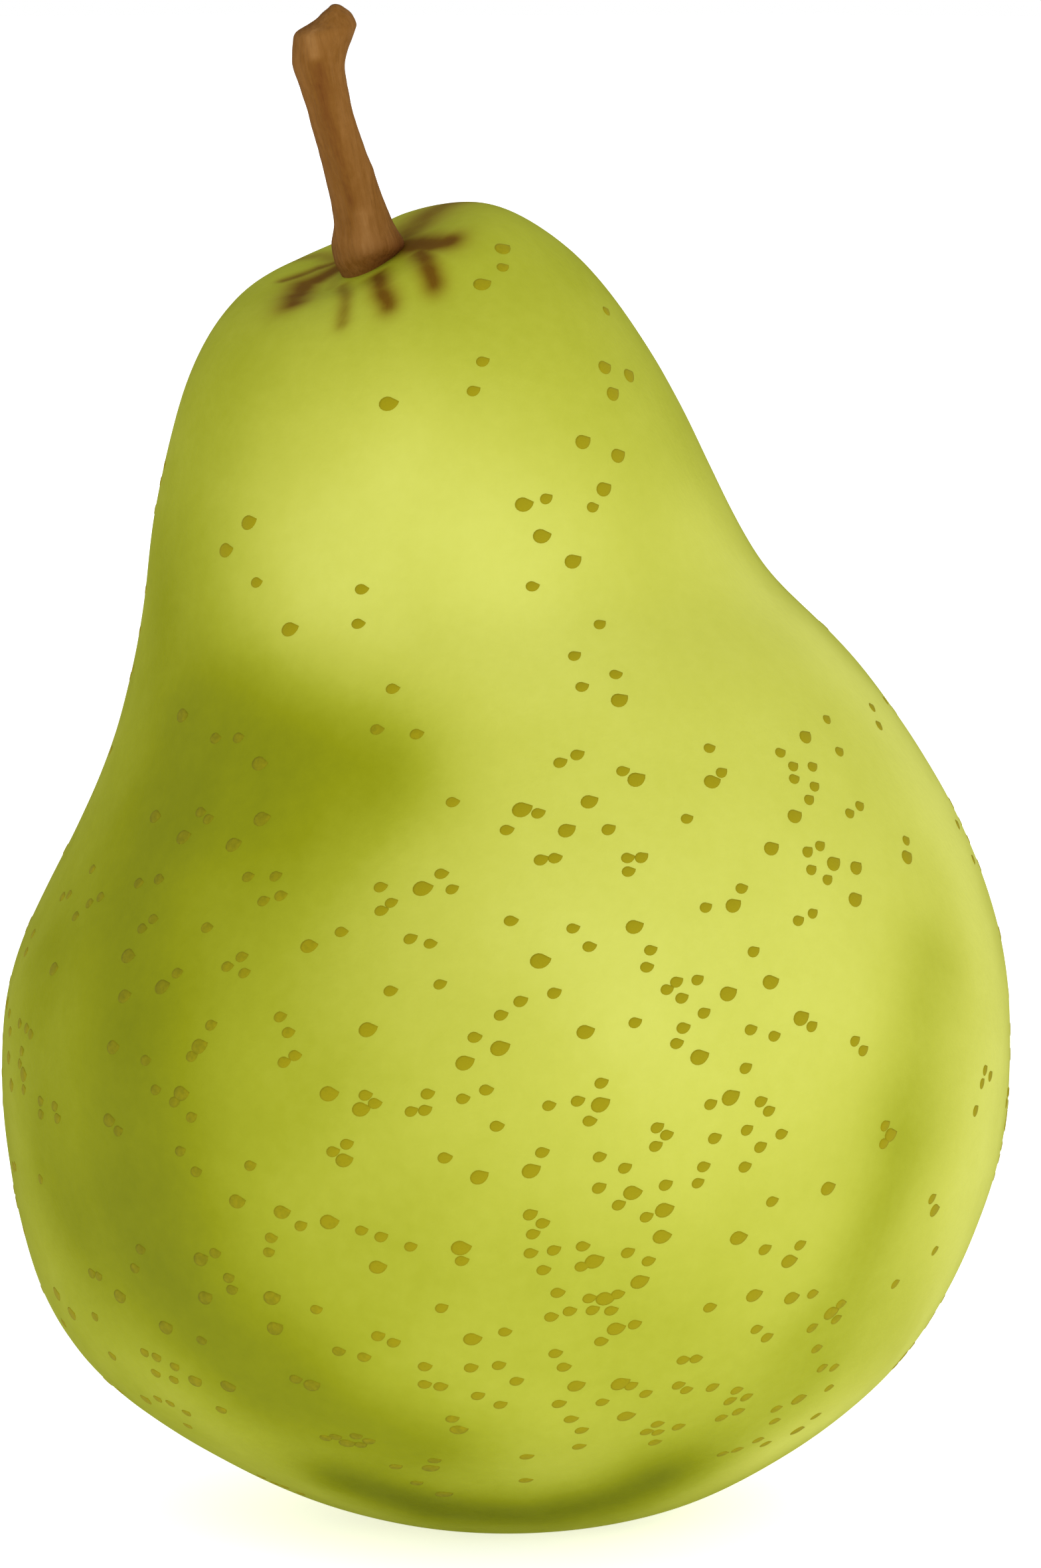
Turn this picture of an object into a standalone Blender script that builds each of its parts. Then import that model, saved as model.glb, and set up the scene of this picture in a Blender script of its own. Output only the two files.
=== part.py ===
"""A green pear standing on the rim of its calyx basin, as picked, with its stem.

Metres, +Z up. The origin is on the surface that the pear stands on, under the middle of its widest ring.
The front is -Y. The neck leans to -X and nods a little to the front, and the stem grows from its tip.
Under the fruit, inside the basin, are the dry remains of the flower: a disc, stamens and five sepals.
"""

import math
from typing import NamedTuple

import bmesh
import bpy
import numpy as np
from mathutils import Matrix, Vector

MM = 0.001

# The two overall sizes of the fruit.
BODY_HEIGHT = 94.1 * MM
BELLY_DIAMETER = 72.0 * MM

# The gap kept between pieces that touch in a real pear.
CLEARANCE = 0.3 * MM

# The calyx basin, a hollow in the underside. The rim around it is cut flat where the pear rests.
BASIN_DEPTH = 5.6 * MM
BASIN_FLOOR_RADIUS = 3.0 * MM
RIM_RADIUS = 7.8 * MM
RIM_FLAT_DEPTH = 0.25 * MM

# The stem, measured from the middle of its foot to its tip. It is rooted in the flesh below the foot.
STEM_LENGTH = 18.3 * MM
STEM_DIAMETER = 3.1 * MM
FOOT_DIAMETER = 5.1 * MM
KNOB_DIAMETER = 4.1 * MM
ROOT_DEPTH = 2.6 * MM
ROOT_DIAMETER = 2.6 * MM

# The dry flower in the basin.
DISC_RADIUS = 2.2 * MM
DISC_THICKNESS = 0.9 * MM
STAMEN_PAD_RADIUS = 1.2 * MM
STAMEN_PAD_HEIGHT = 0.5 * MM
STAMEN_LENGTH = 1.6 * MM
STAMEN_TAPER = 0.45  # a stamen's tip against its foot
STAMEN_SPLAY = 0.25  # how far the outermost stamens lean out, against their length
SEPAL_COUNT = 5
SEPAL_LENGTH = 4.4 * MM
SEPAL_WIDTH = 2.9 * MM
SEPAL_THICKNESS = 0.5 * MM
SEPAL_LEAN = 0.75  # share of the lean of the basin's wall
SEPAL_TROUGH = 0.35 * MM  # how far the middle of a sepal sinks below its edges
SEPAL_CURL = 0.4 * MM  # how far its tip turns outwards

# How finely the pieces are made.
RING_POINTS = 12
SMOOTHING_LEVELS = 2
STEM_SIDES_RESOLUTION = 4
STEM_STEPS = 4
DISC_STEPS = 24
MERGE_DISTANCE = 0.001 * MM

SKIN_COLOUR = (0.527, 0.558, 0.061)
STEM_COLOUR = (0.254, 0.107, 0.019)
SEPAL_COLOUR = (0.098, 0.048, 0.016)
STAMEN_COLOUR = (0.060, 0.032, 0.014)


class Ring(NamedTuple):
    """A ring of the fruit, by its leftmost and rightmost points on the front outline.

    x is in belly radii from the pear's upright axis, and z in body heights from the base. forward moves
    the ring to the front, in belly radii, and nod lifts its back edge over its front edge, in degrees.
    """

    left_x: float
    left_z: float
    right_x: float
    right_z: float
    forward: float = 0.0
    nod: float = 0.0


# The fruit from just outside its base rim to the middle of the stem's foot.
OUTLINE = (
    Ring(-0.345, 0.009, 0.352, 0.009),
    Ring(-0.532, 0.039, 0.520, 0.039),
    Ring(-0.774, 0.099, 0.733, 0.099),
    Ring(-0.921, 0.173, 0.878, 0.173),
    Ring(-0.984, 0.267, 0.975, 0.267),
    Ring(-1.000, 0.344, 1.000, 0.344),
    Ring(-0.972, 0.425, 0.987, 0.425),
    Ring(-0.864, 0.513, 0.917, 0.513),
    Ring(-0.775, 0.593, 0.803, 0.593),
    Ring(-0.730, 0.661, 0.668, 0.661),
    Ring(-0.710, 0.712, 0.535, 0.712, 0.002, 0.5),
    Ring(-0.692, 0.764, 0.445, 0.766, 0.010, 2.0),
    Ring(-0.656, 0.828, 0.348, 0.842, 0.028, 4.0),
    Ring(-0.608, 0.881, 0.262, 0.899, 0.055, 6.5),
    Ring(-0.538, 0.920, 0.173, 0.944, 0.082, 9.0),
    Ring(-0.466, 0.935, 0.075, 0.977, 0.104, 11.0),
    Ring(-0.403, 0.938, -0.036, 0.996, 0.122, 12.0),
    Ring(-0.358, 0.941, -0.145, 0.984, 0.133, 14.0),
    Ring(-0.322, 0.947, -0.226, 0.964, 0.138, 16.0),
)

# The basin's wall, from its floor to its rim: shares of the way out and of the way down.
BASIN_STEPS = ((0.30, 0.06), (0.60, 0.36), (0.85, 0.80))
BASIN_CENTRE_SHARE = 0.4  # the innermost ring of the basin's floor, against the floor's radius

# Half of the disc's section, from its middle round to its hollow side: shares of its radius and thickness.
DISC_PROFILE = ((0.0, 0.0), (0.80, 0.05), (1.0, 0.45), (0.90, 1.0), (0.72, 0.90), (0.60, 0.60), (0.0, 0.55))


class StemPoint(NamedTuple):
    """A point of the stem's middle line, in stem lengths from the foot, with its radius in metres."""

    x: float
    y: float
    z: float
    radius: float


STEM_POINTS = (
    StemPoint(0.000, 0.000, 0.000, 0.50 * FOOT_DIAMETER),
    StemPoint(-0.016, -0.030, 0.148, 0.58 * STEM_DIAMETER),
    StemPoint(-0.056, -0.060, 0.307, 0.52 * STEM_DIAMETER),
    StemPoint(-0.104, -0.085, 0.472, 0.50 * STEM_DIAMETER),
    StemPoint(-0.146, -0.100, 0.631, 0.54 * STEM_DIAMETER),
    StemPoint(-0.174, -0.105, 0.755, 0.48 * KNOB_DIAMETER),
    StemPoint(-0.164, -0.105, 0.862, 0.49 * KNOB_DIAMETER),
    StemPoint(-0.117, -0.100, 0.940, 0.37 * KNOB_DIAMETER),
    StemPoint(-0.098, -0.095, 1.000, 0.18 * KNOB_DIAMETER),
)


def material(name, colour, roughness):
    """A plain Principled material."""
    made = bpy.data.materials.new(name)
    made.use_nodes = True
    shader = made.node_tree.nodes["Principled BSDF"]
    shader.inputs["Base Color"].default_value = (*colour, 1.0)
    shader.inputs["Roughness"].default_value = roughness
    shader.inputs["Metallic"].default_value = 0.0
    return made


def add_object(name, mesh, finish, collection):
    """Puts a mesh in the scene as a smooth-shaded object with one material."""
    mesh.materials.clear()
    mesh.materials.append(finish)
    mesh.shade_smooth()
    made = bpy.data.objects.new(name, mesh)
    collection.objects.link(made)
    return made


def mesh_from(name, shape):
    """A mesh with what a bmesh holds, its faces pointing outwards."""
    bmesh.ops.recalc_face_normals(shape, faces=shape.faces)
    mesh = bpy.data.meshes.new(name)
    shape.to_mesh(mesh)
    shape.free()
    return mesh


def basin_rings():
    """The basin's rings, from the middle of its floor to its rim, each as (middle, sideways, depthways)."""
    reach = RIM_RADIUS - BASIN_FLOOR_RADIUS
    drop = BASIN_DEPTH + RIM_FLAT_DEPTH
    profile = [
        (BASIN_CENTRE_SHARE * BASIN_FLOOR_RADIUS, BASIN_DEPTH),
        (BASIN_FLOOR_RADIUS, BASIN_DEPTH),
    ]
    profile += [(BASIN_FLOOR_RADIUS + out * reach, BASIN_DEPTH - down * drop) for out, down in BASIN_STEPS]
    profile.append((RIM_RADIUS, -RIM_FLAT_DEPTH))
    return [((0, 0, height), (radius, 0, 0), (0, radius, 0)) for radius, height in profile]


def outline_rings():
    """The fruit's outer rings, in the same form, tilted as the outline says."""
    across = BELLY_DIAMETER / 2
    rings = []
    for ring in OUTLINE:
        left = np.array((ring.left_x * across, ring.left_z * BODY_HEIGHT))
        right = np.array((ring.right_x * across, ring.right_z * BODY_HEIGHT))
        middle = (left + right) / 2
        half = (right - left) / 2
        radius = math.hypot(*half)
        nod = math.radians(ring.nod)
        rings.append(
            (
                (middle[0], -ring.forward * across, middle[1]),
                (half[0], 0, half[1]),
                (0, radius * math.cos(nod), radius * math.sin(nod)),
            )
        )
    return rings


def cage_through(rings):
    """Cage rings whose smoothed surface passes through these rings. The first and last are kept."""
    wanted = np.array(rings, float).reshape(len(rings), -1)
    smoothing = np.eye(len(rings))
    for row in range(1, len(rings) - 1):
        smoothing[row, row - 1 : row + 2] = 1 / 6, 4 / 6, 1 / 6
    cage = np.linalg.solve(smoothing, wanted).reshape(-1, 3, 3)
    cage[:, 1:] *= 3 / (2 + math.cos(2 * math.pi / RING_POINTS))
    return [tuple(Vector(row) for row in ring) for ring in cage]


def body_cage():
    """The coarse cage of the fruit: a circle for each ring, bridged one to the next."""
    shape = bmesh.new()
    cage = cage_through(basin_rings() + outline_rings())
    below = []
    for number, (middle, sideways, depthways) in enumerate(cage):
        at_end = number in (0, len(cage) - 1)
        circle = bmesh.ops.create_circle(shape, cap_ends=at_end, segments=RING_POINTS, radius=1.0)
        for vertex in circle["verts"]:
            vertex.co = middle + vertex.co.x * sideways + vertex.co.y * depthways
        edges = [e for e in shape.edges if all(v in circle["verts"] for v in e.verts)]
        if below:
            bmesh.ops.bridge_loops(shape, edges=below + edges)
        below = edges
    return mesh_from("pear_body", shape)


def stem_foot():
    """The middle of the stem's foot, which is the middle of the fruit's last ring."""
    return Vector(outline_rings()[-1][0])


def stem_mesh(name, grow):
    """The stem as a closed tube of changing radius, grown by a margin all over."""
    foot = stem_foot()
    points = [(foot + STEM_LENGTH * Vector(p[:3]), p.radius) for p in STEM_POINTS]
    downwards = (points[0][0] - points[1][0]).normalized()
    root_end = foot + (ROOT_DEPTH + grow) * downwards
    root_swell = foot + ROOT_DEPTH / 2 * downwards
    points = [(root_end, ROOT_DIAMETER / 2), (root_swell, (ROOT_DIAMETER + FOOT_DIAMETER) / 4)] + points
    curve = bpy.data.curves.new(name, "CURVE")
    curve.dimensions = "3D"
    curve.bevel_depth = 1.0
    curve.bevel_resolution = STEM_SIDES_RESOLUTION
    curve.resolution_u = STEM_STEPS
    curve.use_fill_caps = True
    spline = curve.splines.new("BEZIER")
    spline.radius_interpolation = "CARDINAL"
    spline.bezier_points.add(len(points) - 1)
    for point, (place, radius) in zip(spline.bezier_points, points):
        point.co = place
        point.radius = radius + grow
        point.handle_left_type = "AUTO"
        point.handle_right_type = "AUTO"
    return mesh_from_curve(name, curve)


def mesh_from_curve(name, curve):
    """The evaluated mesh of a curve, with its caps welded on."""
    guide = bpy.data.objects.new(name + "_guide", curve)
    bpy.context.scene.collection.objects.link(guide)
    graph = bpy.context.evaluated_depsgraph_get()
    shape = bmesh.new()
    shape.from_mesh(bpy.data.meshes.new_from_object(guide.evaluated_get(graph)))
    bmesh.ops.remove_doubles(shape, verts=shape.verts, dist=MERGE_DISTANCE)
    bpy.data.objects.remove(guide)
    return mesh_from(name, shape)


def add_cutter(name, mesh, collection):
    """A helper that a Boolean reads and no render shows."""
    cutter = bpy.data.objects.new(name, mesh)
    cutter.hide_render = True
    cutter.display_type = "WIRE"
    collection.objects.link(cutter)
    return cutter


def base_block():
    """A block under the resting plane, wide enough to cut the whole rim flat."""
    shape = bmesh.new()
    size = 2 * BELLY_DIAMETER
    bmesh.ops.create_cube(shape, size=size, matrix=Matrix.Translation((0, 0, -size / 2)))
    return mesh_from("base_block", shape)


def build_body(finish, parts, cutters):
    """The fruit, smoothed, then cut flat under its rim and opened where the stem is rooted."""
    body = add_object("pear_body", body_cage(), finish, parts)
    smooth = body.modifiers.new("smooth", "SUBSURF")
    smooth.levels = SMOOTHING_LEVELS
    smooth.render_levels = SMOOTHING_LEVELS
    cuts = (
        add_cutter("base_block", base_block(), cutters),
        add_cutter("stem_socket", stem_mesh("stem_socket", CLEARANCE), cutters),
    )
    for cutter in cuts:
        cut = body.modifiers.new(cutter.name, "BOOLEAN")
        cut.operation = "DIFFERENCE"
        cut.object = cutter


def disc_height(share):
    """A height within the disc under the basin's floor, from its upper face (0) to its lowest edge (1)."""
    return BASIN_DEPTH - CLEARANCE - share * DISC_THICKNESS


def build_disc(finish, parts):
    """The dry disc on the basin's floor, a shallow dish turned about the pear's axis, hollow side down."""
    mesh = bpy.data.meshes.new("calyx_disc")
    points = [(out * DISC_RADIUS, 0, disc_height(down)) for out, down in DISC_PROFILE]
    mesh.from_pydata(points, [(i, i + 1) for i in range(len(points) - 1)], [])
    disc = add_object("calyx_disc", mesh, finish, parts)
    turn = disc.modifiers.new("turn", "SCREW")
    turn.steps = DISC_STEPS
    turn.render_steps = DISC_STEPS
    turn.use_merge_vertices = True
    turn.merge_threshold = MERGE_DISTANCE


def build_stamens(finish, parts):
    """The tuft of dry stamens under the disc: a small pad with a tapering spike from each lower face."""
    shape = bmesh.new()
    bmesh.ops.create_uvsphere(shape, u_segments=8, v_segments=4, radius=STAMEN_PAD_RADIUS)
    for vertex in shape.verts:
        vertex.co.z *= STAMEN_PAD_HEIGHT / (2 * STAMEN_PAD_RADIUS)
    lower = [face for face in shape.faces if face.calc_center_median().z < 0]
    spikes = bmesh.ops.extrude_discrete_faces(shape, faces=lower)["faces"]
    for face in spikes:
        middle = face.calc_center_median()
        outwards = Vector((middle.x, middle.y, 0)) / STAMEN_PAD_RADIUS
        step = STAMEN_LENGTH * (Vector((0, 0, -1)) + STAMEN_SPLAY * outwards)
        for vertex in face.verts:
            vertex.co = middle + STAMEN_TAPER * (vertex.co - middle) + step
    under_disc = disc_height(DISC_PROFILE[-1][1]) - CLEARANCE
    lift = Matrix.Translation((0, 0, under_disc - STAMEN_PAD_HEIGHT / 2))
    bmesh.ops.transform(shape, matrix=lift, verts=shape.verts)
    add_object("stamens", mesh_from("stamens", shape), finish, parts)


def sepal_width(share):
    """A sepal's width at a share of its length: it swells a little from its base, then narrows to a tip."""
    return SEPAL_WIDTH * (0.75 + 0.9 * share - 1.5 * share**2)


def sepal_leaf():
    """The open surface of one sepal: x across, -z towards the tip, and +y out to the basin's wall."""
    shape = bmesh.new()
    columns, rows = 2, 5
    bmesh.ops.create_grid(shape, x_segments=columns, y_segments=rows, size=0.5)
    for vertex in shape.verts:
        across = 2 * vertex.co.x
        share = vertex.co.y + 0.5
        vertex.co.x = across * sepal_width(share) / 2
        vertex.co.y = SEPAL_TROUGH * (1 - across**2) + SEPAL_CURL * share**3
        vertex.co.z = -share * SEPAL_LENGTH
    return mesh_from("sepal", shape)


def build_sepals(finish, parts):
    """Five sepals around the disc, leaning out towards the basin's wall."""
    leaf = sepal_leaf()
    wall = math.atan2(RIM_RADIUS - BASIN_FLOOR_RADIUS, BASIN_DEPTH)
    lean = Matrix.Rotation(SEPAL_LEAN * wall, 4, "X")
    half = SEPAL_THICKNESS / 2
    base = Vector((0, DISC_RADIUS + CLEARANCE + half, disc_height(0) - half))
    for number in range(SEPAL_COUNT):
        turn = Matrix.Rotation(2 * math.pi * number / SEPAL_COUNT, 4, "Z")
        sepal = add_object(f"sepal_{number + 1}", leaf, finish, parts)
        sepal.matrix_world = turn @ Matrix.Translation(base) @ lean
        thicken = sepal.modifiers.new("thicken", "SOLIDIFY")
        thicken.thickness = SEPAL_THICKNESS
        thicken.offset = 0.0
        smooth = sepal.modifiers.new("smooth", "SUBSURF")
        smooth.levels = 1
        smooth.render_levels = 1


def clear_scene():
    """Removes every object of the startup scene."""
    for old in list(bpy.data.objects):
        bpy.data.objects.remove(old, do_unlink=True)


def main():
    """Builds the pear."""
    clear_scene()
    parts = bpy.data.collections.new("pear")
    cutters = bpy.data.collections.new("cutters")
    bpy.context.scene.collection.children.link(parts)
    bpy.context.scene.collection.children.link(cutters)
    build_body(material("skin", SKIN_COLOUR, 0.42), parts, cutters)
    add_object("stem", stem_mesh("stem", 0.0), material("stem_bark", STEM_COLOUR, 0.70), parts)
    dry = material("dry_sepal", SEPAL_COLOUR, 0.85)
    build_disc(dry, parts)
    build_sepals(dry, parts)
    build_stamens(material("dry_stamen", STAMEN_COLOUR, 0.90), parts)


main()
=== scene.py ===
"""The look of a green pear: skin and lenticels, stem, and the dry flower in the basin under it.

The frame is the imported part: metres, +Z up, the pear standing on z = 0 with its front to -Y.
Sizes in the classes below are in millimetres unless a name says otherwise.
"""

import logging
import math
import random
from dataclasses import dataclass
from enum import Enum

import bmesh
import bpy
import numpy as np
from mathutils import Euler, Matrix, Vector
from mathutils.bvhtree import BVHTree


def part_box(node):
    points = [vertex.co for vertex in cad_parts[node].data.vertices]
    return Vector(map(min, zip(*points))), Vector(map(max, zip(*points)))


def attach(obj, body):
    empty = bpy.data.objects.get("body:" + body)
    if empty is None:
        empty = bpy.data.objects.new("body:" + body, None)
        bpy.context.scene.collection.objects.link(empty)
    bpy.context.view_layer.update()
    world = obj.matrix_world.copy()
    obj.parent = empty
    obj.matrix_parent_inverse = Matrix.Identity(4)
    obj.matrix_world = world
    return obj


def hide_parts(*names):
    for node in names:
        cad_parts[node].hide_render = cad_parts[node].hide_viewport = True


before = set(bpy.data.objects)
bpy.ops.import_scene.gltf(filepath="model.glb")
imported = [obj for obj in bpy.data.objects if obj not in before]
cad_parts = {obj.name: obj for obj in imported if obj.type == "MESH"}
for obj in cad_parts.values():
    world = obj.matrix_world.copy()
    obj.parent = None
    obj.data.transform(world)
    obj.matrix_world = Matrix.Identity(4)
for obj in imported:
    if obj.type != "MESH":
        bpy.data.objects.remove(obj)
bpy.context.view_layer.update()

MM = 0.001
BODY = "root"
log = logging.getLogger("pear")

Point = tuple[float, float, float]
Colour = tuple[float, float, float]
Pairs = tuple[tuple[float, float], ...]
Rows = tuple[tuple[float, ...], ...]
Stops = tuple[tuple[float, Colour], ...]


def far_corner(node: str) -> Vector:
    """The right, back, top corner of a CAD node's box, in millimetres."""
    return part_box(node)[1] / MM


class Slot(Enum):
    """The record's material slots that the pieces take their finish from."""

    SKIN = "skin"
    BARK = "stem_bark"
    SEPAL = "dry_sepal"
    STAMEN = "dry_stamen"


# --- Workbench -------------------------------------------------------------------------------------------


def put_down() -> None:
    """Leaves edit mode and deselects every object."""
    if bpy.context.mode != "OBJECT":
        bpy.ops.object.mode_set(mode="OBJECT")
    bpy.ops.object.select_all(action="DESELECT")


def take(piece: bpy.types.Object) -> None:
    """Makes a piece the active object, and the only selected one.

    Args:
        piece: The object to work on.
    """
    put_down()
    piece.select_set(True)
    bpy.context.view_layer.objects.active = piece


def settle(piece: bpy.types.Object, name: str) -> bpy.types.Object:
    """Names a piece, and moves its place into its mesh.

    Args:
        piece: The object to settle.
        name: Its name, and its mesh's.

    Returns:
        The same object, at the origin, unturned and unscaled.
    """
    take(piece)
    bpy.ops.object.transform_apply(location=True, rotation=True, scale=True)
    piece.name = name
    piece.data.name = name
    return piece


def work(piece: bpy.types.Object, kind: str, **settings: object) -> None:
    """Adds a modifier to a piece, sets it and applies it.

    Args:
        piece: The object to change.
        kind: The modifier's type.
        **settings: The modifier's properties, by name.
    """
    take(piece)
    modifier = piece.modifiers.new(kind.lower(), kind)
    for setting, value in settings.items():
        setattr(modifier, setting, value)
    bpy.ops.object.modifier_apply(modifier=modifier.name)


def smooth(piece: bpy.types.Object, levels: int) -> None:
    """Subdivides a piece with rounding.

    Args:
        piece: The object to round.
        levels: How many times each face is divided.
    """
    work(piece, "SUBSURF", levels=levels, render_levels=levels)


def roughen(piece: bpy.types.Object, grain: float, height: float, group: str = "") -> None:
    """Moves a piece's surface in and out a little, in soft lumps.

    Args:
        piece: The object to change.
        grain: The size of a lump, in millimetres.
        height: The difference between the highest and the lowest places, in millimetres.
        group: The vertex group that says where, if not all over.
    """
    lumps = bpy.data.textures.new("lumps", "CLOUDS")
    lumps.noise_scale = grain * MM
    work(
        piece,
        "DISPLACE",
        texture=lumps,
        texture_coords="LOCAL",
        strength=height * MM,
        mid_level=0.5,
        vertex_group=group,
    )


def face_outwards(piece: bpy.types.Object) -> None:
    """Merges a closed piece's doubled points and turns all its faces outwards.

    Args:
        piece: The object to mend.
    """
    take(piece)
    bpy.ops.object.mode_set(mode="EDIT")
    bpy.ops.mesh.select_all(action="SELECT")
    bpy.ops.mesh.remove_doubles(threshold=0.001 * MM)
    bpy.ops.mesh.normals_make_consistent(inside=False)
    bpy.ops.object.mode_set(mode="OBJECT")


def copy_of(piece: bpy.types.Object, place: Matrix, name: str) -> bpy.types.Object:
    """A copy of a piece with its own mesh, put in a new place.

    Args:
        piece: The model that is copied.
        place: Where the copy goes, from where the model is.
        name: The copy's name.

    Returns:
        The copy, with its place in its mesh.
    """
    copied = bpy.data.objects.new(name, piece.data.copy())
    copied.data.name = name
    copied.data.transform(place)
    bpy.context.scene.collection.objects.link(copied)
    return copied


def join(pieces: list[bpy.types.Object], name: str) -> bpy.types.Object:
    """Joins pieces into one.

    Args:
        pieces: The objects to join.
        name: The joined object's name.

    Returns:
        The joined object.
    """
    take(pieces[0])
    for piece in pieces[1:]:
        piece.select_set(True)
    bpy.ops.object.join()
    return settle(pieces[0], name)


def dress(piece: bpy.types.Object, finish: bpy.types.Material, crease: float = 0.0) -> None:
    """Smooths a piece's shading and gives it its one material.

    Args:
        piece: The object to dress.
        finish: Its material.
        crease: The angle in degrees over which an edge stays sharp, if any does.
    """
    take(piece)
    if crease:
        bpy.ops.object.shade_smooth_by_angle(angle=math.radians(crease))
    else:
        bpy.ops.object.shade_smooth()
    piece.data.materials.clear()
    piece.data.materials.append(finish)


def hand_over(piece: bpy.types.Object, slot: Slot, *nodes: str) -> None:
    """Gives a finished piece its body, and hides the CAD nodes that it stands for.

    Args:
        piece: The finished object.
        slot: Not used.
        *nodes: The CAD nodes that it replaces.
    """
    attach(piece, BODY)
    if nodes:
        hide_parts(*nodes)
    triangles = sum(len(face.vertices) - 2 for face in piece.data.polygons)
    log.info("%s: %d triangles", piece.name, triangles)


def paint_on(piece: bpy.types.Object, layer: str, amounts: np.ndarray) -> None:
    """Writes one number for each point of a piece, which its finish reads.

    Args:
        piece: The object.
        layer: The attribute's name.
        amounts: The numbers, in the order of the points.
    """
    attribute = piece.data.attributes.new(layer, "FLOAT", "POINT")
    attribute.data.foreach_set("value", np.asarray(amounts, np.float32))


def points_of(piece: bpy.types.Object) -> np.ndarray:
    """Reads where the points of a piece's mesh are.

    Args:
        piece: The object.

    Returns:
        The points, one to a row, in millimetres.
    """
    flat = np.empty(3 * len(piece.data.vertices), np.float32)
    piece.data.vertices.foreach_get("co", flat)
    return flat.reshape(-1, 3).astype(float) / MM


@dataclass(frozen=True)
class Hoop:
    """One hoop of a lofted shape: its middle, and from there its right side and its back."""

    middle: Point
    sideways: Point
    depthways: Point

    def add(self, count: int) -> None:
        """Adds the hoop as a circle primitive, in the mode that Blender is in.

        Args:
            count: How many points the circle has.
        """
        sideways, depthways = Vector(self.sideways), Vector(self.depthways)
        nod = math.atan2(depthways.z, depthways.y)
        tilt = -math.atan2(sideways.z, sideways.x)
        middle = Vector(self.middle) * MM
        bpy.ops.mesh.primitive_circle_add(
            vertices=count, radius=sideways.length * MM, location=middle, rotation=(nod, tilt, 0.0)
        )
        deeper = depthways.length / sideways.length
        bpy.ops.transform.resize(value=(1.0, deeper, 1.0), center_override=middle)


def level_hoop(radius: float, height: float, aside: float = 0.0) -> Hoop:
    """A level, round hoop.

    Args:
        radius: Its radius.
        height: Its height.
        aside: How far its middle is to the right of the pear's.

    Returns:
        The hoop.
    """
    return Hoop((aside, 0.0, height), (radius, 0.0, 0.0), (0.0, radius, 0.0))


def through(hoops: list[Hoop], count: int) -> list[Hoop]:
    """Cage hoops whose rounded surface passes through the hoops that are asked for.

    Args:
        hoops: The hoops to pass through. The first and the last are kept.
        count: How many points each has.

    Returns:
        The cage's hoops.
    """
    wanted = np.array([(h.middle, h.sideways, h.depthways) for h in hoops]).reshape(len(hoops), -1)
    rounding = np.eye(len(hoops))
    for row in range(1, len(hoops) - 1):
        rounding[row, row - 1 : row + 2] = 1 / 6, 4 / 6, 1 / 6
    cage = np.linalg.solve(rounding, wanted).reshape(-1, 3, 3)
    cage[:, 1:] *= 3 / (2 + math.cos(2 * math.pi / count))
    return [Hoop(*(tuple(row) for row in hoop)) for hoop in cage]


def select_newest(piece: bpy.types.Object, count: int) -> None:
    """Selects the edges between a piece's newest points, and no face, in edit mode.

    Args:
        piece: The object in edit mode.
        count: How many points are taken as the newest.
    """
    bpy.ops.mesh.select_all(action="DESELECT")
    shape = bmesh.from_edit_mesh(piece.data)
    first = len(shape.verts) - count
    for edge in shape.edges:
        if all(vertex.index >= first for vertex in edge.verts):
            edge.select = True
    bmesh.update_edit_mesh(piece.data)


def loft(name: str, hoops: list[Hoop], count: int) -> bpy.types.Object:
    """A closed shape through hoops: circles that are added and bridged one by one, with both ends filled.

    Args:
        name: The object's name.
        hoops: Its hoops, from one end to the other.
        count: How many points each has.

    Returns:
        The lofted object.
    """
    put_down()
    hoops[0].add(count)
    piece = settle(bpy.context.active_object, name)
    bpy.ops.object.mode_set(mode="EDIT")
    bpy.ops.mesh.select_mode(type="VERT")
    bpy.ops.mesh.select_all(action="SELECT")
    bpy.ops.mesh.edge_face_add()
    for hoop in hoops[1:]:
        hoop.add(count)
        select_newest(piece, 2 * count)
        bpy.ops.mesh.bridge_edge_loops()
    select_newest(piece, count)
    bpy.ops.mesh.edge_face_add()
    bpy.ops.object.mode_set(mode="OBJECT")
    face_outwards(piece)
    return piece


# --- Finishes --------------------------------------------------------------------------------------------


def shade(red: int, green: int, blue: int) -> Colour:
    """A colour as a screen shows it, from 0 to 255, turned into the light that it stands for.

    Args:
        red: Its red part.
        green: Its green part.
        blue: Its blue part.

    Returns:
        Its linear parts, from 0 to 1.
    """
    parts = [part / 255 for part in (red, green, blue)]
    return tuple(p / 12.92 if p <= 0.04045 else ((p + 0.055) / 1.055) ** 2.4 for p in parts)


@dataclass(frozen=True)
class Grain:
    """A soft random pattern: the size of its features, how far it swings, and how many finer ones it has.

    The size is in millimetres, and so is the swing of a relief, which is its depth.
    """

    size: float
    swing: float
    detail: float = 2.0


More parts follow.
